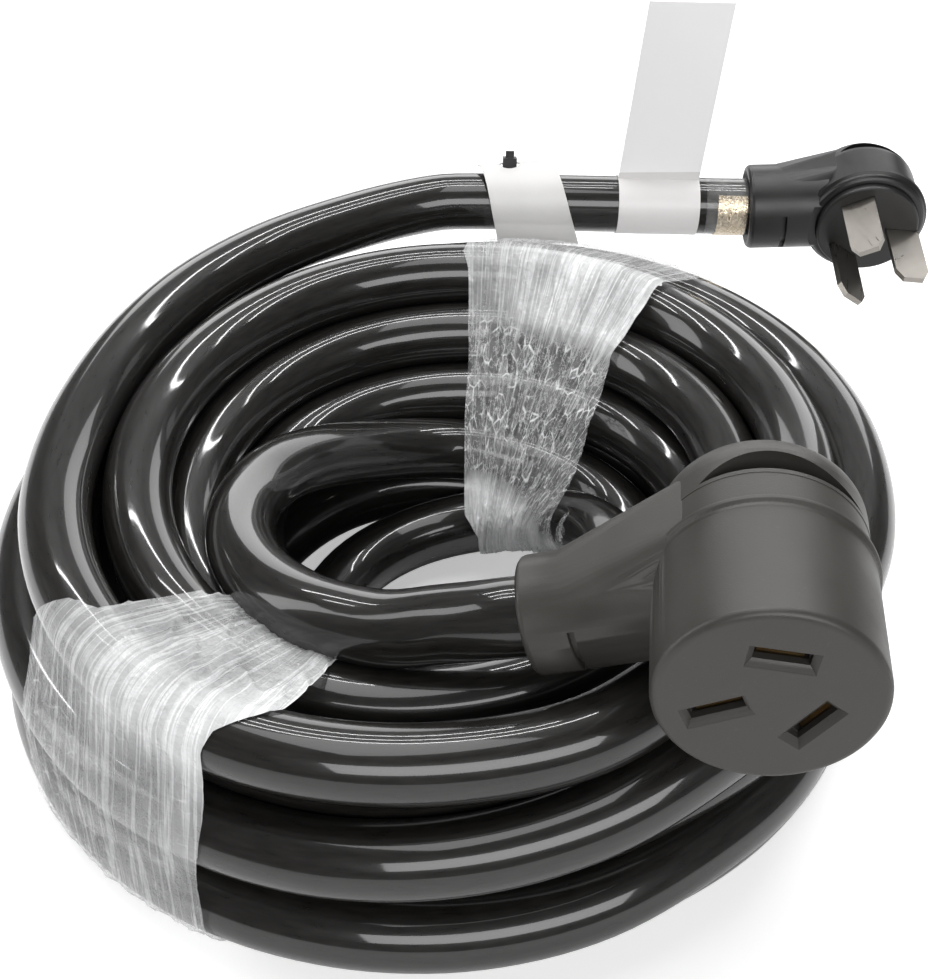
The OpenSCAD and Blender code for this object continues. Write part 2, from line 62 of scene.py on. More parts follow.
def linked(name, data):
    """A new object in the scene."""
    piece = bpy.data.objects.new(name, data)
    bpy.context.scene.collection.objects.link(piece)
    return piece


def keep_vectors(mesh, name, vectors):
    """Keeps one vector for each point of the mesh, for its look."""
    mesh.attributes.new(name, "FLOAT_VECTOR", "POINT").data.foreach_set("vector", np.ravel(vectors))


def turned_outward(mesh, weld=None):
    """Turns the faces outward, after points nearer than weld are joined."""
    bm = bmesh.new()
    bm.from_mesh(mesh)
    if weld:
        bmesh.ops.remove_doubles(bm, verts=bm.verts, dist=weld)
    bmesh.ops.recalc_face_normals(bm, faces=bm.faces)
    bm.to_mesh(mesh)
    bm.free()


deselect()

# ---------------------------------------------------------------- camera
camera = linked("studio_camera", bpy.data.cameras.new("studio_camera"))
camera.location = (-0.0091, -0.44313, 0.43442)
camera.rotation_euler = (math.radians(50), 0, 0)
camera.data.sensor_fit = "HORIZONTAL"
camera.data.sensor_width = 36
camera.data.lens = 64.0
camera.data.clip_start = 0.01
bpy.context.scene.camera = camera


# ---------------------------------------------------------------- winding of the cable
# Each turn is one entry: where it passes the right, the back, the left and the front of the
# coil, as (radius, height). The turns follow one another in this order.
TURNS = [
    None,
    ((109, 80), (114, 89), (107, 86), (103, 74)),
    ((86, 80), (102, 70), (99, 65), (89, 51)),
    ((85, 57), (88, 50), (76, 45), (66, 51)),
    ((62, 57), (43, 11.5), (50, 11.5), (64, 11.5)),
    ((56, 11.5), (82, 11.5), (88, 18), (89, 11.5)),
    ((79, 11.5), (107, 11.5), (107, 11.5), (112, 11.5)),
    ((102, 11.5), (130, 11.5), (129, 11.5), (135, 11.5)),
    ((125, 11.5), (151, 11.5), (152, 11.5), (144, 33)),
    ((129, 34.5), (146, 30), (139, 29), (122, 31)),
    ((131, 56.5), (142, 50), (147, 48), (149, 56)),
    ((131, 78), (137, 69), (138, 68), (126, 67)),
    ((108, 57), (119, 54), (119, 55), (112, 51)),
    ((106, 34.5), (121, 31), (117, 32), (99, 31)),
    ((83, 34.5), (97, 30), (98, 43), (76, 31)),
    ((60, 34.5), (70, 30), (76, 68), None),
]
# Where a turn passes between those four places: {turn: (azimuth, radius, height), ...}.
# A negative azimuth lies ahead of the turn's right side.
BETWEEN = {
    1: [(-45, 124, 90), (-25, 116, 86)],
    3: [(135, 84, 50)],
    4: [(-45, 62, 55), (45, 46, 25)],
    8: [(-65, 127.2, 11.5), (-45, 123.3, 11.5), (-31, 122, 11.5)],
    9: [(-62, 132.6, 33), (-41, 127.5, 33)],
    10: [(-45, 118, 52), (-25, 126, 55)],
    11: [(-45, 136, 66), (-25, 131, 73), (-12, 128, 78), (13, 133, 77), (38, 143.3, 76), (48, 144.5, 75.5)],
    12: [(-45, 112, 72), (-20, 108, 63)],
    13: [(-45, 103, 45)],
    15: [(-40, 64, 40), (105, 66, 33), (120, 62, 40), (135, 60, 50), (150, 62, 58), (165, 68, 64)],
}
# The two ends of the winding, from the plug's lead and to the connector's lead.
FIRST_TURN = [
    (101.3, 159.5, 89.5), (111, 154, 89.5), (120, 149, 89.5), (140.6, 138.5, 89.5), (152.9, 133.7, 89.5),
    (168.5, 130.6, 89.5), (184.8, 131.5, 89.5), (196.4, 134.5, 89.5), (210.3, 136.7, 90), (225, 140, 90),
    (240.2, 143, 90), (252, 139.8, 90), (262.8, 136, 90), (273.4, 133, 90), (291.6, 130.2, 90),
]
LAST_RUN = [(220, 91, 81), (233, 93, 88), (245, 92, 92.5), (258, 92, 96), (268, 94.5, 100.5), (276, 99, 106)]
# Outermost place of a turn's middle, by azimuth.
OUTER_LIMIT = [
    (0, 131), (27, 140.5), (48, 145), (90, 153), (135, 152.5), (180, 151), (200, 147.5), (207, 147),
    (225, 148.5), (250, 149.5), (270, 149), (284, 141), (300, 135.5), (315, 133), (330, 129.5), (360, 131),
]
LAST_TURN = len(TURNS) - 1
RIGHT_SIDE = (-14, 15)          # a place between these azimuths stands in for the one at 0
STEP = 15                       # degrees between two places that the settling moves
ROUNDS, CALM_FROM = 300, 0.7    # of the settling, and the share of them after which nothing is drawn home
FIRM_BEFORE, FIRM_AFTER = 300, 360 * LAST_TURN + 228    # azimuths of the two held ends
FREE_BEFORE = 130               # azimuth up to which the plug's end may lie outside the limit
LIMIT_SLACK = 0.8
FIRM = 0.85                     # how firmly the ends are held
DRAW, FIRM_DRAW = 0.03, 0.5     # share of the way home in a round, and what firmness adds
SMOOTH, CALM_SMOOTH = 0.25, 0.05
PUSHES, PUSH = 4, 0.8           # in a round, and the share of an overlap that each one clears


def monotone(xs, ys, at):
    """Smooth curve through the places that never swings past them."""
    xs, ys, at = np.asarray(xs, float), np.asarray(ys, float), np.asarray(at, float)
    gap = np.diff(xs)
    slope = np.diff(ys) / gap
    rate = np.zeros_like(ys)
    same = slope[:-1] * slope[1:] > 0
    w1, w2 = 2 * gap[1:] + gap[:-1], gap[1:] + 2 * gap[:-1]
    with np.errstate(divide="ignore", invalid="ignore"):
        mean = (w1 + w2) / (w1 / slope[:-1] + w2 / slope[1:])
    rate[1:-1] = np.where(same, mean, 0)
    rate[0], rate[-1] = slope[0], slope[-1]
    i = np.clip(np.searchsorted(xs, at) - 1, 0, len(gap) - 1)
    h, t = gap[i], (at - xs[i]) / gap[i]
    return ((1 + 2 * t) * (1 - t) ** 2 * ys[i] + t * (1 - t) ** 2 * h * rate[i]
            + t * t * (3 - 2 * t) * ys[i + 1] + t * t * (t - 1) * h * rate[i + 1])


def winding_places():
    places = list(FIRST_TURN)
    for turn, corners in enumerate(TURNS):
        if corners is None:
            continue
        mine = BETWEEN.get(turn, [])
        crowded = any(RIGHT_SIDE[0] < place[0] < RIGHT_SIDE[1] for place in mine)
        here = [(azimuth, *corner) for azimuth, corner in zip((0, 90, 180, 270), corners)
                if corner is not None and not (azimuth == 0 and crowded)]
        places += [(360 * turn + a, r, z) for a, r, z in sorted(here + mine)]
    places += [(360 * LAST_TURN + a, r, z) for a, r, z in LAST_RUN]
    return places


def settled(places):
    """Pushes the turns apart until they lie beside and on each other, a diameter apart."""
    azimuth, radius, height = (np.array(c, float) for c in zip(*places))
    at = np.arange(math.ceil(azimuth[0] / STEP) * STEP, azimuth[-1], STEP)
    wanted = np.stack([monotone(azimuth, radius, at), monotone(azimuth, height, at)], 1)
    lie = wanted.copy()
    per_turn = 360 // STEP
    slices = [np.arange(s, len(at), per_turn) for s in range(per_turn)]
    limit = np.interp(at % 360, *zip(*OUTER_LIMIT)) + LIMIT_SLACK
    limit[at < FREE_BEFORE] = np.inf
    firm = np.where((at < FIRM_BEFORE) | (at > FIRM_AFTER), FIRM, 0.0)[:, None]
    for k in range(ROUNDS):
        calm = k > ROUNDS * CALM_FROM
        if not calm:
            lie += (DRAW + FIRM_DRAW * firm) * (wanted - lie)
        middle = 0.5 * (lie[2:] + lie[:-2])
        lie[1:-1] += (CALM_SMOOTH if calm else SMOOTH) * (1 - firm[1:-1]) * (middle - lie[1:-1])
        for _ in range(PUSHES):
            for s in slices:
                here, give = lie[s], 1 - firm[s, 0]
                apart = here[:, None] - here[None]
                far = np.hypot(apart[..., 0], apart[..., 1])
                np.fill_diagonal(far, 1e9)
                share = give[:, None] / np.maximum(give[:, None] + give[None], 1e-6)
                push = np.where(far < CABLE_D, (CABLE_D - far) / np.maximum(far, 1e-6), 0) * share
                lie[s] += (push[..., None] * apart * PUSH).sum(1)
            lie[:, 1] = np.maximum(lie[:, 1], CABLE_D / 2)
            lie[:, 0] = np.minimum(lie[:, 0], limit)
    return at, lie


def in_model(points):
    points = np.asarray(points, float).copy()
    points[:, 0] += COIL_MIDDLE[0]
    points[:, 1] += COIL_MIDDLE[1]
    return points * MM


def through(points, steps):
    """Points of a smooth curve through the given ones."""
    p = np.vstack([2 * points[0] - points[1], points, 2 * points[-1] - points[-2]])
    out = []
    for i in range(1, len(p) - 2):
        for t in np.arange(steps) / steps:
            out.append(0.5 * (2 * p[i] + (p[i + 1] - p[i - 1]) * t
                              + (2 * p[i - 1] - 5 * p[i] + 4 * p[i + 1] - p[i + 2]) * t * t
                              + (3 * p[i] - p[i - 1] - 3 * p[i + 1] + p[i + 2]) * t ** 3))
    out.append(p[-2])
    return np.array(out)


turn_azimuth, turn_lie = settled(winding_places())
turn_azimuth, turn_lie = turn_azimuth[:-1], turn_lie[:-1]      # the lead takes over from here
turn_radius, turn_height = turn_lie.T
around = np.radians(turn_azimuth)
turn_points = in_model(np.stack([turn_radius * np.cos(around), turn_radius * np.sin(around), turn_height], 1))

# The two free leads, as in the model's own source, in millimetres from the coil's source frame.
SOURCE_AT = (-18.1, -12.85)


def from_source(points):
    return [((x + SOURCE_AT[0]) * MM, (y + SOURCE_AT[1]) * MM, z * MM) for x, y, z in points]


PLUG_AT = Vector((154.2, 138.85, 86.3)) * MM
PLUG_TURN = Euler((math.radians(7), math.radians(-2.5), math.radians(-1.5))).to_matrix()
CONN_AT = Vector((66.76, -164.07, 132.2)) * MM
CONN_TURN = Euler((0, math.radians(-17.5), math.radians(-5.5))).to_matrix()


def plug_point(x, y, z):
    return PLUG_AT + PLUG_TURN @ (Vector((x, y, z)) * MM)


def conn_point(x, y, z):
    return CONN_AT + CONN_TURN @ (Vector((x, y, z)) * MM)


lead_out = plug_point(-47.5, 14, 0)
lead_bend = Vector(from_source([(11, 165, 89.5)])[0])
plug_run = [plug_point(-41.6, 14, 0)] + [lead_out.lerp(lead_bend, k / 5) for k in range(6)]
plug_run += from_source([(-5, 163, 89.5)])
conn_run = from_source([(3, -95, 103), (13, -98.5, 107.6), (21.5, -100.8, 111.3)])
conn_run += [conn_point(-65, 44, 0), conn_point(-59.1, 44, 0)]
ROUTE_STEP = 0.0052             # between two rings of the cable


def run_length(points):
    """How far along the run each of its points lies."""
    return np.r_[0, np.cumsum(np.linalg.norm(np.diff(points, axis=0), axis=1))]


route = np.vstack([[tuple(p) for p in plug_run], turn_points, [tuple(p) for p in conn_run]])
route = through(route, 6)[::-1]
along_route = run_length(route)
route_at = np.linspace(0, along_route[-1], int(along_route[-1] / ROUTE_STEP))
route = np.stack([np.interp(route_at, along_route, route[:, i]) for i in range(3)], 1)


def tube(name, centres, radius, sides):
    """Mesh tube along the centres, with where each point lies on the skin kept as an attribute."""
    run = np.gradient(centres, axis=0)
    run /= np.linalg.norm(run, axis=1)[:, None]
    side = np.cross(run, (0, 0, 1))
    side /= np.linalg.norm(side, axis=1)[:, None]
    up = np.cross(side, run)
    turn = np.arange(sides) * 2 * math.pi / sides
    ring = np.cos(turn)[None, :, None] * side[:, None] + np.sin(turn)[None, :, None] * up[:, None]
    places = (centres[:, None] + radius * ring).reshape(-1, 3)
    count = len(centres)
    first = (np.arange(count - 1)[:, None] * sides + np.arange(sides)[None]).ravel()
    after = (np.arange(count - 1)[:, None] * sides + (np.arange(sides)[None] + 1) % sides).ravel()
    faces = np.stack([first, first + sides, after + sides, after], 1).tolist()
    faces += [list(range(sides)), list(range((count - 1) * sides, count * sides))[::-1]]
    mesh = bpy.data.meshes.new(name)
    mesh.from_pydata(places.tolist(), [], faces)
    over = [np.tile(share(turn) * radius, count) for share in (np.cos, np.sin)]
    keep_vectors(mesh, "skin", np.stack([np.repeat(run_length(centres), sides), *over], 1))
    mesh.shade_smooth()
    return linked(name, mesh)


cable = tube("cable", route, CABLE_D / 2 * MM, 28)
turned_outward(cable.data)
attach(cable, "cord")
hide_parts("cable_coil", "cable_lead_plug", "cable_lead_connector")


# ---------------------------------------------------------------- stretch film
# Where a wrap starts and ends, in degrees of azimuth, at the directions 0, 45, ... 315 round the
# section of the coil: 0 is the outside, 90 the top, 180 the hole and 270 the floor.
FRONT_WRAP = dict(start=(211, 213, 216, 225, 231, 224, 214, 212),
                  end=(242, 243, 247, 250, 250, 247, 244, 243))
BACK_WRAP = dict(start=(49, 49, 50, 46, 8, 6, 24, 44), end=(86, 88, 90, 89, 80, 80, 83, 85))
# By direction round the section, how much of its crinkles a wrap keeps.
TIGHT_OUTSIDE = ((-30, 10, 75, 100), (1.0, 0.3, 0.3, 1.0))
# By height, where the back wrap starts on the slope of the hole, and the directions of that slope.
BACK_SLOPE = ((12, 30, 48, 66, 84), (3, 12, 30, 44, 50))
SLOPE_FACES = (100, 215)
EDGE_STRAY = 1.6                # degrees that the edges of a wrap wander
SPAN_R, FLAT_R = 110, 112       # radii that turn azimuth into width, for the look and the flat sheet
FILM_WELD = 0.00002             # in metres


def section_outline(azimuth, count, gap):
    """The taut line round the turns at one azimuth, as (radius, height) and direction."""
    here = np.arange(azimuth, 360 * LAST_TURN + 200, 360)
    here = here[here > turn_azimuth[0]]
    centres = np.stack([np.interp(here, turn_azimuth, lie) for lie in (turn_radius, turn_height)], 1)
    facing = np.radians(np.arange(-90, 271, 3))
    outward = np.stack([np.cos(facing), np.sin(facing)], 1)
    edge = centres[(centres @ outward.T).argmax(0)] + (CABLE_D / 2 + gap) * outward
    length = np.r_[0, np.cumsum(np.hypot(*np.diff(edge, axis=0).T))]
    at = np.linspace(0, length[-1], count)
    outline = np.stack([np.interp(at, length, edge[:, i]) for i in (0, 1)], 1)
    return outline, np.interp(at, length, facing), at


def front_haze(share, height, turn):
    """How milky the front wrap is: most on top, where it is bunched, least down its side."""
    top = min(1.0, max(0.0, (height - 74) / 16))
    return 0.19 + 0.1 * share + (0.1 + 0.22 * share) * top


def back_haze(share, height, turn):
    """The back wrap is milky on top, clear over the slope of the hole and white at its foot."""
    if turn < 75:
        return 0.3
    top = min(1.0, max(0.0, (height - 80) / 8)) * (0.35 + 0.65 * min(1.0, max(0.0, (0.85 - share) * 4)))
    foot = min(1.0, max(0.0, (44 - height) / 6))
    return 0.09 + 0.5 * top + 0.7 * foot


def ridge(noise_here, sharp):
    """A crease where a noise passes zero."""
    return max(0.0, 1 - sharp * abs(noise_here))


def film_wrap(name, start, end, haze, gap, slope=None, across=120, round_count=420):
    """One crinkled wrap of film, pulled tight round the turns."""
    ring = np.arange(-90, 271, 45)
    first = np.array([start[int(d % 360) // 45] for d in ring], float)
    last = np.array([end[int(d % 360) // 45] for d in ring], float)
    slices = np.arange(min(start) - 5, max(end) + 5.1, 1.0)
    lines = [section_outline(a, round_count, gap) for a in slices]
    edge = np.array([line[0] for line in lines])
    facing = lines[len(lines) // 2][1]
    at = lines[len(lines) // 2][2]
    places, lay = [], []
    for j in range(round_count):
        turn = math.degrees(facing[j])
        low = np.interp(turn, ring, first)
        if slope is not None and SLOPE_FACES[0] < turn < SLOPE_FACES[1]:
            low = np.interp(edge[len(edge) // 2, j, 1], *slope)
        low += EDGE_STRAY * noise.noise((at[j] * 0.03, 3.1, start[0]))
        high = np.interp(turn, ring, last) + EDGE_STRAY * noise.noise((at[j] * 0.03, 7.7, start[0]))
        for i in range(across):
            share = i / (across - 1)
            azimuth = low + share * (high - low)
            r, z = (np.interp(azimuth, slices, edge[:, j, k]) for k in (0, 1))
            wide = math.radians(azimuth) * SPAN_R
            pull = noise.noise((wide * 0.36 + at[j] * 0.01, at[j] * 0.012, start[0]))
            fold = noise.noise((wide * 0.12 + at[j] * 0.05, at[j] * 0.03, 9 + start[0]))
            fine = noise.noise((wide * 1.1, at[j] * 0.02, 4 + start[0]))
            swell = 0.55 * ridge(pull, 5) + 0.8 * ridge(fold, 8) + 0.3 * (0.5 + fine)
            swell *= np.interp(turn, *TIGHT_OUTSIDE)
            r += swell * math.cos(facing[j])
            z = max(z + swell * math.sin(facing[j]), 0.1 + 0.2 * swell)
            turn_at = math.radians(azimuth)
            places.append((r * math.cos(turn_at), r * math.sin(turn_at), z))
            lay.append((at[j] * MM, wide * MM, haze(share, z, turn)))
    faces = [(j * across + i, j * across + i + 1, (j + 1) * across + i + 1, (j + 1) * across + i)
             for j in range(round_count - 1) for i in range(across - 1)]
    mesh = bpy.data.meshes.new(name)
    mesh.from_pydata(in_model(places).tolist(), [], faces)
    keep_vectors(mesh, "lay", lay)
    piece = linked(name, mesh)
    turned_outward(mesh, FILM_WELD)
    mesh.shade_smooth()
    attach(piece, "cord")
    return piece


film_front = film_wrap("film_front", haze=front_haze, gap=0.5, **FRONT_WRAP)
film_back = film_wrap("film_back", haze=back_haze, slope=BACK_SLOPE, gap=1.1, **BACK_WRAP)
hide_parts("film_wrap_front")
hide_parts("film_wrap_back")


# ---------------------------------------------------------------- mesh editing
def in_edit(piece):
    deselect()
    bpy.context.view_layer.objects.active = piece
    piece.select_set(True)
    bpy.ops.object.mode_set(mode="EDIT")
    bpy.ops.mesh.select_all(action="SELECT")


def out_of_edit():
    bpy.ops.object.mode_set(mode="OBJECT")


def joined(piece, other, operation):
    cut = piece.modifiers.new("cut", "BOOLEAN")
    cut.operation, cut.object, cut.solver = operation, other, "EXACT"
    bpy.context.view_layer.objects.active = piece
    bpy.ops.object.modifier_apply(modifier="cut")
    bpy.data.objects.remove(other, do_unlink=True)


# ---------------------------------------------------------------- hang tag
# Millimetres and degrees in the frame of the lead that the tag hangs on: X runs along the lead.
lead_back = -(lead_bend - lead_out).normalized()
lead_side = Vector((0, 0, 1)).cross(lead_back).normalized()
TAG_TURN = Matrix((lead_back, lead_side, lead_back.cross(lead_side))).transposed()
TAG_AT = 18                     # along X of the coil's source frame
TAG_BEND_R = 13.55
TAG_FROM, TAG_ROUND, TAG_FLAT_FROM = 52, 172, 188       # where it starts, how far it goes, where it is flat
RADIAN = 57.3                   # in degrees
TAG_EDGE, TAG_WIDTH = 3.9, 29.0
TAG_SKEW, TAG_FLARE = 8.8, 4.0  # how far the lower end has slipped, and how much wider it lies
TAG_LIFT, TAG_CURL = 1.2, 2.6   # of the free upper end, and what the far corner adds
CARD_THICK = 0.00045            # in metres
HEAD_R, HEAD_LONG, HEAD_OUT = 4.0, 20.0, 14.0           # of the opening for the tie's head
HEAD_AT, HEAD_TILT = 9.2, -18


def head_hole(start):
    """The opening in the card that the tie's head stands in."""
    deselect()
    bpy.ops.mesh.primitive_cylinder_add(vertices=48, radius=HEAD_R, depth=HEAD_LONG, location=(0, 0, 0))
    hole = bpy.context.object
    in_edit(hole)
    bpy.ops.transform.translate(value=(0, 0, HEAD_OUT))
    out_of_edit()
    at = Matrix.Translation(start + TAG_TURN @ (Vector((HEAD_AT, 0, 0)) * MM)) @ TAG_TURN.to_4x4()
    hole.data.transform(at @ Matrix.Rotation(math.radians(HEAD_TILT), 4, "X") @ Matrix.Scale(MM, 4))
    return hole


def on_card(along, down):
    """Where a point of the card lies, by its shares along the lead and down the card."""
    angle = TAG_FROM + down * TAG_ROUND
    straight = max(0.0, angle - TAG_FLAT_FROM) / RADIAN * TAG_BEND_R
    turn = math.radians(min(angle, TAG_FLAT_FROM))
    wave = 0.35 * math.sin(along * 7 + down * 5) * down
    x = TAG_SKEW * down - TAG_EDGE + along * (TAG_WIDTH + TAG_FLARE * down)
    radial = TAG_BEND_R + wave * 0.4 + (TAG_LIFT + TAG_CURL * along) * (1 - down) ** 2
    y = radial * math.cos(turn) + straight * math.sin(turn)
    z = radial * math.sin(turn) + straight * math.cos(turn)
    return Vector((x, y, z)) * MM


def hang_tag():
    """A card that is bent over the lead and held by its tie, slipped a little askew."""
    deselect()
    bpy.ops.mesh.primitive_grid_add(x_subdivisions=24, y_subdivisions=60, size=1, location=(0, 0, 0))
    card = bpy.context.object
    card.name = "hang_tag_card"
    reach = (TAG_AT + SOURCE_AT[0]) * MM - lead_out.x
    start = lead_out + (lead_bend - lead_out) * reach / (lead_bend.x - lead_out.x)
    for vert in card.data.vertices:
        vert.co = start + TAG_TURN @ on_card(vert.co.x + 0.5, 0.5 - vert.co.y)
    in_edit(card)
    bpy.ops.mesh.normals_make_consistent(inside=False)
    out_of_edit()
    thick = card.modifiers.new("thick", "SOLIDIFY")
    thick.thickness, thick.offset = CARD_THICK, 0
    bpy.context.view_layer.objects.active = card
    bpy.ops.object.modifier_apply(modifier="thick")
    joined(card, head_hole(start), "DIFFERENCE")
    card.data.shade_smooth()
    card.data.set_sharp_from_angle(angle=math.radians(40))
    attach(card, "tag")
    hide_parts("hang_tag")
    return card


tag_card = hang_tag()


# ---------------------------------------------------------------- connector moulding
# Millimetres in the connector's own frame: Y runs back from the face, Z is up.
CONN_FRAME = Matrix.LocRotScale(CONN_AT, CONN_TURN.to_quaternion(), Vector((MM, MM, MM)))
REAR_R, REAR_FROM, REAR_TO, REAR_DOME = 29.2, 53.7, 77.0, 15.0
DOME_STEPS, ROUND_SIDES = 12, 144
SLOT_X, SLOT_HALF, SLOT_FRONT, SLOT_GAP, SLOT_TALL = 8.5, 20.0, 55.2, 7.4, 90
BEAD_WELD = 0.001
# The bead and the neck behind it, as (place, radius), over the model's own.
BEAD = [
    (39.4, 28.0), (39.4, 30.02), (40.2, 30.1), (40.7, 30.3), (41.1, 30.65), (41.6, 30.95), (42.2, 31.0),
    (42.8, 30.8), (43.3, 30.3), (43.7, 29.6), (44.2, 29.15), (44.8, 29.06), (53.9, 29.06), (53.9, 28.0),
    (39.4, 28.0),
]


def turned(profile, fill, weld=None):
    """A circle drawn out through the (place, radius) pairs, along Y of the connector's frame."""
    deselect()
    start, radius = profile[0]
    bpy.ops.mesh.primitive_circle_add(vertices=ROUND_SIDES, radius=radius, fill_type=fill, location=(0, 0, 0))
    piece = bpy.context.object
    in_edit(piece)
    for (place, size), (to, radius) in zip(profile, profile[1:]):
        bpy.ops.mesh.extrude_region_move(TRANSFORM_OT_translate={"value": (0, 0, to - place)})
        bpy.ops.transform.resize(value=(radius / size, radius / size, 1), center_override=(0, 0, to - start))
    bpy.ops.mesh.select_all(action="SELECT")
    if weld:
        bpy.ops.mesh.remove_doubles(threshold=weld)
    bpy.ops.mesh.normals_make_consistent(inside=False)
    out_of_edit()
    lying = Matrix.Rotation(math.radians(-90), 4, "X")
    piece.data.transform(CONN_FRAME @ lying @ Matrix.Translation((0, 0, start)))
    return piece


def bead_ring():
    """The rounded bead round the body, as one closed ring."""
    return turned(BEAD, "NOTHING", BEAD_WELD)


def rear_of_grip():
    """The back of the body, up to its domed end."""
    dome_from = REAR_TO - REAR_DOME
    profile = [(REAR_FROM, REAR_R), (dome_from, REAR_R)]
    for k in range(1, DOME_STEPS + 1):
        a = math.radians(90 / DOME_STEPS * k)
        profile.append((dome_from + REAR_DOME * math.sin(a), REAR_R - REAR_DOME + REAR_DOME * math.cos(a)))
    return turned(profile, "NGON")


def finger_slot():
    """The crescent that is cut through the back and leaves the grip behind it."""
    bow = (SLOT_HALF ** 2 + SLOT_GAP ** 2) / (2 * SLOT_GAP)
    deselect()
    bpy.ops.mesh.primitive_circle_add(vertices=240, radius=bow, fill_type="NGON", location=(0, 0, 0))
    slot = bpy.context.object
    in_edit(slot)
    bpy.ops.mesh.bisect(plane_co=(0, bow - SLOT_GAP, 0), plane_no=(0, 1, 0), use_fill=False, clear_inner=True)
    bpy.ops.mesh.select_all(action="SELECT")
    bpy.ops.mesh.extrude_region_move(TRANSFORM_OT_translate={"value": (0, 0, SLOT_TALL)})
    bpy.ops.mesh.select_all(action="SELECT")
    bpy.ops.mesh.normals_make_consistent(inside=False)
    out_of_edit()
    start = (SLOT_X, SLOT_FRONT - bow + SLOT_GAP, -SLOT_TALL / 2)
    slot.data.transform(CONN_FRAME @ Matrix.Translation(start))
    return slot


def connector_moulding():
    """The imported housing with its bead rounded, its back domed and the slot cut through."""
    piece = linked("connector_moulding", nodes["connector_housing"].data.copy())
    in_edit(piece)
    bpy.ops.mesh.remove_doubles(threshold=0.000005)
    bpy.ops.mesh.normals_make_consistent(inside=False)
    out_of_edit()
    joined(piece, bead_ring(), "UNION")
    joined(piece, rear_of_grip(), "UNION")
    joined(piece, finger_slot(), "DIFFERENCE")
    in_edit(piece)
    bpy.ops.mesh.remove_doubles(threshold=0.00001)
    bpy.ops.mesh.dissolve_limited(angle_limit=math.radians(0.3))
    out_of_edit()
    piece.data.shade_smooth()
    piece.data.set_sharp_from_angle(angle=math.radians(24))
    even_light = piece.modifiers.new("even_light", "WEIGHTED_NORMAL")
    even_light.keep_sharp = True
    bpy.ops.object.modifier_apply(modifier="even_light")
    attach(piece, "cord")
    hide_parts("connector_housing")
    return piece


connector_body = connector_moulding()


# ---------------------------------------------------------------- shader maths
class Wire:
    """An output socket that can be reckoned with."""

    def __init__(self, look, socket):
        self.look, self.socket = look, socket

    def _math(self, operation, *values):
        return self.look.node("ShaderNodeMath", *values, operation=operation)

    def __add__(self, other): return self._math("ADD", self, other)
    def __sub__(self, other): return self._math("SUBTRACT", self, other)
    def __rsub__(self, other): return self._math("SUBTRACT", other, self)
    def __mul__(self, other): return self._math("MULTIPLY", self, other)
    def __gt__(self, other): return self._math("GREATER_THAN", self, other)
    __radd__, __rmul__ = __add__, __mul__

    def at_least(self, other): return self._math("MAXIMUM", self, other)
    def size(self): return self._math("ABSOLUTE", self)

    def spread(self, low, high, to_low=0.0, to_high=1.0):
        """Maps low..high to to_low..to_high and holds the ends."""
        return self.look.node("ShaderNodeMapRange", self, low, high, to_low, to_high, clamp=True)

    def between(self, dark, light):
        """A colour between two, by this share."""
        mix = self.look.node("ShaderNodeMix", raw=True, data_type="RGBA")
        self.look.plug(mix.inputs["Factor"], self)
        self.look.plug(mix.inputs["A"], dark, colour=True)
        self.look.plug(mix.inputs["B"], light, colour=True)
        return Wire(self.look, [o for o in mix.outputs if o.type == "RGBA"][0])


class Look:
    """A material, made node by node."""

    def __init__(self, name, **fixed):
        self.material = bpy.data.materials.new(name)
        self.material.use_nodes = True
        self.tree = self.material.node_tree
        self.shader = self.tree.nodes["Principled BSDF"]
        for socket, value in fixed.items():
            self.shader.inputs[socket.replace("_", " ")].default_value = value

    def plug(self, socket, value, colour=False):
        if isinstance(value, Wire):
            self.tree.links.new(value.socket, socket)
        elif colour and len(value) == 3:
            socket.default_value = (*value, 1)
        else:
            socket.default_value = value

    def node(self, kind, *values, out=0, raw=False, named=None, **settings):
        made = self.tree.nodes.new(kind)
        for key, value in settings.items():
            setattr(made, key, value)
        for socket, value in zip(made.inputs, values):
            if value is not None:
                self.plug(socket, value)
        for key, value in (named or {}).items():
            self.plug(made.inputs[key], value)
        return made if raw else Wire(self, made.outputs[out])

    def place(self):
        """Object coordinates."""
        return self.node("ShaderNodeTexCoord", out=3)

    def skin(self):
        return self.node("ShaderNodeAttribute", out=1, attribute_name="skin")

    def stretched(self, vector, scale):
        return self.node("ShaderNodeMapping", named={"Vector": vector, "Scale": scale})

    def noise(self, vector, scale, detail=3.0, rough=0.5):
        return self.node("ShaderNodeTexNoise",
                         named={"Vector": vector, "Scale": scale, "Detail": detail, "Roughness": rough})

    def bump(self, height, distance, strength=1.0, over=None):
        named = {"Height": height, "Distance": distance, "Strength": strength}
        if over is not None:
            named["Normal"] = over
        return self.node("ShaderNodeBump", named=named)

    def give(self, **wires):
        for socket, value in wires.items():
            self.plug(self.shader.inputs[socket.replace("_", " ")], value)
        return self.material


def cable_jacket():
    look = Look("cable_jacket", Roughness=0.3, IOR=1.5, Specular_IOR_Level=0.22, Coat_Weight=1.0,
                Coat_Roughness=0.06)
    skin = look.skin()
    drawn = look.noise(look.stretched(skin, (2, 500, 500)), 1.0, 1)
    waves = look.noise(look.stretched(skin, (9, 60, 60)), 1.0, 1)
    dust = look.noise(look.stretched(skin, (120, 700, 700)), 1.0, 3, 0.5)
    scuff = look.noise(look.stretched(skin, (12, 260, 260)), 1.0, 4, 0.65).spread(0.6, 0.74)
    colour = dust.spread(0.35, 0.75).between((0.0095, 0.0088, 0.0082), (0.017, 0.016, 0.015))
    bump = look.bump(drawn, 0.00002, 0.4)
    bump = look.bump(waves, 0.00025, 0.4, bump)
    return look.give(Base_Color=colour, Normal=bump,
                     Roughness=scuff * 0.06 + dust.spread(0.3, 0.7, 0.27, 0.32))


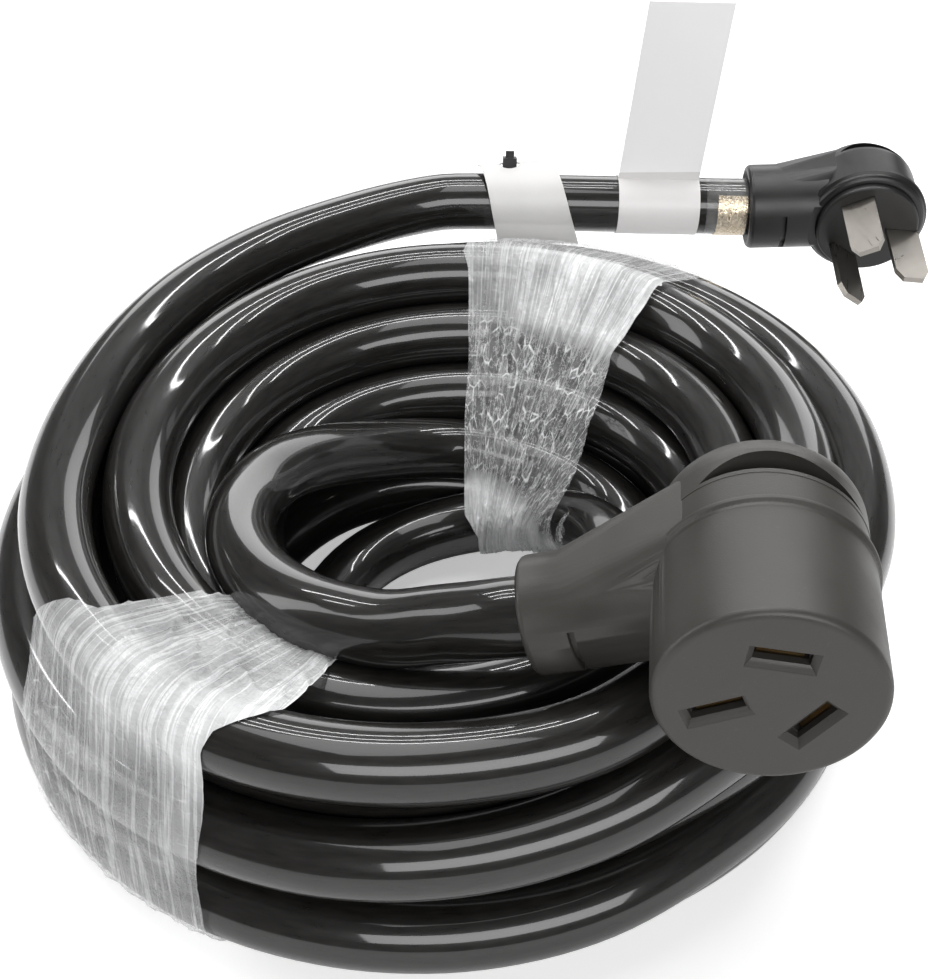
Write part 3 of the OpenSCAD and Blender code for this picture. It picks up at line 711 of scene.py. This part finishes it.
def moulding(name, dark, light, roughness):
    look = Look(name, Roughness=roughness)
    place = look.place()
    grain = look.noise(place, 2600, 3)
    cloud = look.noise(place, 60, 3)
    speck = look.noise(place, 700, 2).spread(0.66, 0.74)
    bump = look.bump(grain, 0.00012, 0.35)
    bump = look.bump(cloud, 0.0008, 0.15, bump)
    return look.give(Base_Color=(cloud * 0.7 + speck * 0.3).between(dark, light),
                     Roughness=cloud.spread(0.3, 0.7, roughness - 0.06, roughness + 0.08), Normal=bump)


def nylon(name, dark, light, roughness=0.45):
    look = Look(name)
    place = look.place()
    cloud = look.noise(place, 140, 3)
    grain = look.noise(place, 1800, 2)
    return look.give(Base_Color=cloud.between(dark, light),
                     Roughness=cloud.spread(0.3, 0.7, roughness - 0.06, roughness + 0.08),
                     Normal=look.bump(grain, 0.0001, 0.25))


def metal(name, dark, light, roughness, brushed):
    look = Look(name, Metallic=1.0)
    place = look.place()
    stroke = look.noise(look.stretched(place, brushed), 1.0, 4, 0.6)
    stain = look.noise(place, 90, 3)
    colour = (stroke * 0.4 + stain * 0.6).between(dark, light)
    return look.give(Base_Color=colour, Roughness=stroke.spread(0.3, 0.7, roughness - 0.04, roughness + 0.06),
                     Normal=look.bump(stroke, 0.000006, 0.2))


def crinkled_foil():
    look = Look("gold_foil", Metallic=1.0)
    place = look.place()
    crush = look.noise(look.stretched(place, (900, 620, 620)), 1.0, 3, 0.55)
    worn = look.noise(place, 700, 4, 0.6)
    return look.give(Base_Color=crush.spread(0.3, 0.7).between((0.56, 0.45, 0.31), (0.84, 0.73, 0.57)),
                     Roughness=worn.spread(0.3, 0.7, 0.16, 0.38), Normal=look.bump(crush, 0.0006, 0.7))


def core(name, dark, light):
    look = Look(name, Roughness=0.32)
    cloud = look.noise(look.place(), 300, 3)
    return look.give(Base_Color=cloud.between(dark, light), Normal=look.bump(cloud, 0.0001, 0.3))


def paper(name, dark, light, roughness, painted_light_above=None):
    """A printed face left bare; above a height, where it stands up, a lighter colour is painted on: painted
    light for the shade that the upright face stands in.
    """
    look = Look(name, Roughness=roughness)
    place = look.place()
    fibre = look.noise(place, 2400, 4, 0.6)
    shade = look.noise(place, 50, 2)
    colour = (fibre * 0.3 + shade * 0.7).between(dark, light)
    # Painted light: the part above the height gets a lighter colour, making up for the shade on the upright
    # flag.
    if painted_light_above is not None:
        height = look.node("ShaderNodeSeparateXYZ", place, out=2)
        colour = (height > painted_light_above[0]).between(colour, painted_light_above[1])
    return look.give(Base_Color=colour,
                     Roughness=fibre.spread(0.3, 0.7, roughness - 0.05, roughness + 0.07),
                     Normal=look.bump(shade, 0.0007, 0.4, look.bump(fibre, 0.00004, 0.3)))


def clear_tape(name, low, high):
    look = Look(name, Roughness=0.12, IOR=1.45)
    cloud = look.noise(look.place(), 160, 3)
    crease = look.noise(look.place(), 420, 3)
    return look.give(Base_Color=cloud.between((0.74, 0.74, 0.73), (0.88, 0.88, 0.87)),
                     Alpha=cloud.spread(0.3, 0.7, low, high), Normal=look.bump(crease, 0.0006, 0.4))


def stretch_film():
    """Clear film with fine creases along the wrap; milky where it is bunched; with painted highlights along
    its crumpled creases.
    """
    look = Look("film", IOR=1.45)
    lay = look.node("ShaderNodeAttribute", out=1, attribute_name="lay")
    milky = look.node("ShaderNodeSeparateXYZ", lay, out=2)
    thread = look.noise(look.stretched(lay, (9, 900, 0)), 1.0, 3, 0.55)
    streak = look.noise(look.stretched(lay, (7, 260, 0)), 1.0, 4, 0.6)
    crush = look.noise(look.stretched(lay, (170, 210, 0)), 1.0, 4, 0.65)
    warp = look.noise(look.stretched(lay, (60, 60, 0)), 1.0, 2)
    patch = look.noise(look.stretched(lay, (140, 170, 0)), 1.0, 2).spread(0.46, 0.6)
    crumple = look.stretched(lay, (150, 230, 0))
    cell = {"Vector": crumple, "Scale": 1.0}
    crease = look.node("ShaderNodeTexVoronoi", feature="DISTANCE_TO_EDGE", named=cell)
    facet = look.node("ShaderNodeTexVoronoi", out=1, feature="F1", named=cell)
    cloud = look.noise(look.stretched(lay, (30, 60, 0)), 1.0, 3)
    line = (1 - (streak - 0.5).size() * 26).at_least(0.0)
    hair = thread.spread(0.56, 0.7)
    # Painted highlight: the white film is made more opaque along the crumple creases, in patches, for the
    # glints of the film.
    painted_glint = (1 - crease * 14).at_least(0.0) * patch + (1 - (crush - 0.5).size() * 30).at_least(0.0) * 0.35
    clear = (1 - milky * 4).at_least(0.0)
    # Where the film is clear, the glint term adds painted highlights, and the facet term makes each crumpled
    # facet a little lighter or darker, as painted reflection.
    alpha = (milky * cloud.spread(0.25, 0.75, 0.55, 1.25) + line * (0.2 + milky * 0.14)
             + hair * (0.12 + milky * 0.1) + painted_glint * (0.08 + clear * 1.1)
             + (facet - 0.45) * clear * warp.spread(0.35, 0.65, 0.0, 0.5) + 0.04)
    bump = look.bump(streak, 0.0014, 0.7)
    bump = look.bump(crush + facet * 0.5, 0.0022, 0.8, bump)
    return look.give(Base_Color=cloud.between((0.80, 0.81, 0.82), (0.95, 0.955, 0.96)),
                     Alpha=alpha.spread(0, 1, 0.04, 0.96), Roughness=cloud.spread(0.3, 0.7, 0.12, 0.28),
                     Normal=bump)


looks = {
    "cable_jacket": cable_jacket(),
    "moulding": moulding("connector_moulding", (0.030, 0.028, 0.025), (0.053, 0.0495, 0.0445), 0.42),
    "carrier": nylon("carrier", (0.009, 0.0088, 0.0086), (0.015, 0.0147, 0.0143), 0.38),
    "contact_block": nylon("contact_block", (0.04, 0.038, 0.036), (0.055, 0.052, 0.05), 0.5),
    "blade_nickel": metal("blade_nickel", (0.25, 0.232, 0.21), (0.42, 0.395, 0.365), 0.3, (40, 40, 1200)),
    "core_white": core("core_white", (0.74, 0.74, 0.72), (0.85, 0.85, 0.84)),
    "core_black": core("core_black", (0.02, 0.02, 0.02), (0.035, 0.035, 0.035)),
    "core_red": core("core_red", (0.45, 0.03, 0.03), (0.58, 0.05, 0.045)),
    # The brass colours are darkened as painted shade, standing in for the shade in the slots that the
    # contacts sit in.
    "contact_brass": metal("contact_brass", (0.22, 0.15, 0.07), (0.34, 0.24, 0.12), 0.42, (200, 60, 60)),
    "spring_steel": metal("spring_steel", (0.42, 0.42, 0.43), (0.6, 0.6, 0.61), 0.25, (60, 400, 60)),
    "film": stretch_film(),
    # The label's flag above 102.2 mm is painted lighter: painted light for the shade its upright face stands
    # in.
    "label": paper("label", (0.70, 0.685, 0.68), (0.78, 0.765, 0.76), 0.4,
                   painted_light_above=(0.1022, (0.96, 0.955, 0.96))),
    "tape": clear_tape("tape", 0.02, 0.09),
    "gold_foil": crinkled_foil(),
    "tag": paper("tag", (0.58, 0.575, 0.565), (0.68, 0.672, 0.66), 0.42),
    "tie": nylon("tie", (0.015, 0.015, 0.015), (0.026, 0.026, 0.026), 0.34),
}
slot_of = {part["node"]: part["material_slot"] for part in frame["record"]["subparts"]}


def covered(piece, material):
    piece.data.materials.clear()
    piece.data.materials.append(material)


for name, thing in nodes.items():
    covered(thing, looks[slot_of[name]])
tag_card.data.materials.append(looks["tag"])
covered(connector_body, looks["moulding"])
covered(nodes["plug_housing"],
        moulding("plug_moulding", (0.006, 0.0059, 0.0057), (0.013, 0.0127, 0.0122), 0.34))
cable.data.materials.append(looks["cable_jacket"])
film_front.data.materials.append(looks["film"])
film_back.data.materials.append(looks["film"])


# ---------------------------------------------------------------- studio
bpy.ops.mesh.primitive_plane_add(size=2.7, location=(0, 0, 0))
floor = bpy.context.object
floor.name = "studio_floor"
floor_look = Look("studio_floor", Roughness=0.85)
path = floor_look.node("ShaderNodeLightPath", raw=True)
floor_look.shader.inputs["Base Color"].default_value = (0.86, 0.86, 0.86, 1)
floor_look.shader.inputs["Emission Color"].default_value = (1, 1, 1, 1)
glow = Wire(floor_look, path.outputs["Is Camera Ray"]) * 0.45
floor_look.plug(floor_look.shader.inputs["Emission Strength"], glow)
floor.data.materials.append(floor_look.material)

world = bpy.data.worlds.new("studio_world")
bpy.context.scene.world = world
world.use_nodes = True
tree = world.node_tree
back = tree.nodes["Background"]
back.inputs["Color"].default_value = (1, 1, 1, 1)
rays = tree.nodes.new("ShaderNodeLightPath")
level = tree.nodes.new("ShaderNodeMapRange")
level.inputs["To Min"].default_value = 0.14
level.inputs["To Max"].default_value = 1.0
tree.links.new(rays.outputs["Is Camera Ray"], level.inputs["Value"])
tree.links.new(level.outputs["Result"], back.inputs["Strength"])


def lamp(name, place, target, size, energy):
    light = bpy.data.lights.new(name, "AREA")
    light.shape = "RECTANGLE"
    light.size, light.size_y = size
    light.energy = energy
    thing = linked(name, light)
    thing.location = place
    thing.rotation_euler = (Vector(target) - Vector(place)).to_track_quat("-Z", "Y").to_euler()


lamp("tube_near", (0.0, 0.35, 1.5), (0, 0, 0), (2.0, 0.035), 7)
lamp("tube_middle", (0.0, 0.62, 1.4), (0, 0, 0), (2.0, 0.03), 6)
lamp("tube_far", (0.0, 0.95, 1.25), (0, 0, 0), (2.0, 0.035), 7)
lamp("soft_back", (0.2, 1.9, 0.75), (0, 0, 0.05), (2.4, 0.8), 16)
lamp("soft_left", (-1.7, 0.0, 0.7), (0, 0, 0.05), (0.5, 1.6), 9)
lamp("soft_top", (-0.2, -0.1, 1.9), (0, 0, 0), (1.0, 1.0), 9)
lamp("soft_front", (0.3, -1.6, 1.1), (0, 0, 0.05), (2.0, 0.8), 24)

bpy.context.scene.view_settings.view_transform = "Standard"
bpy.context.view_layer.update()
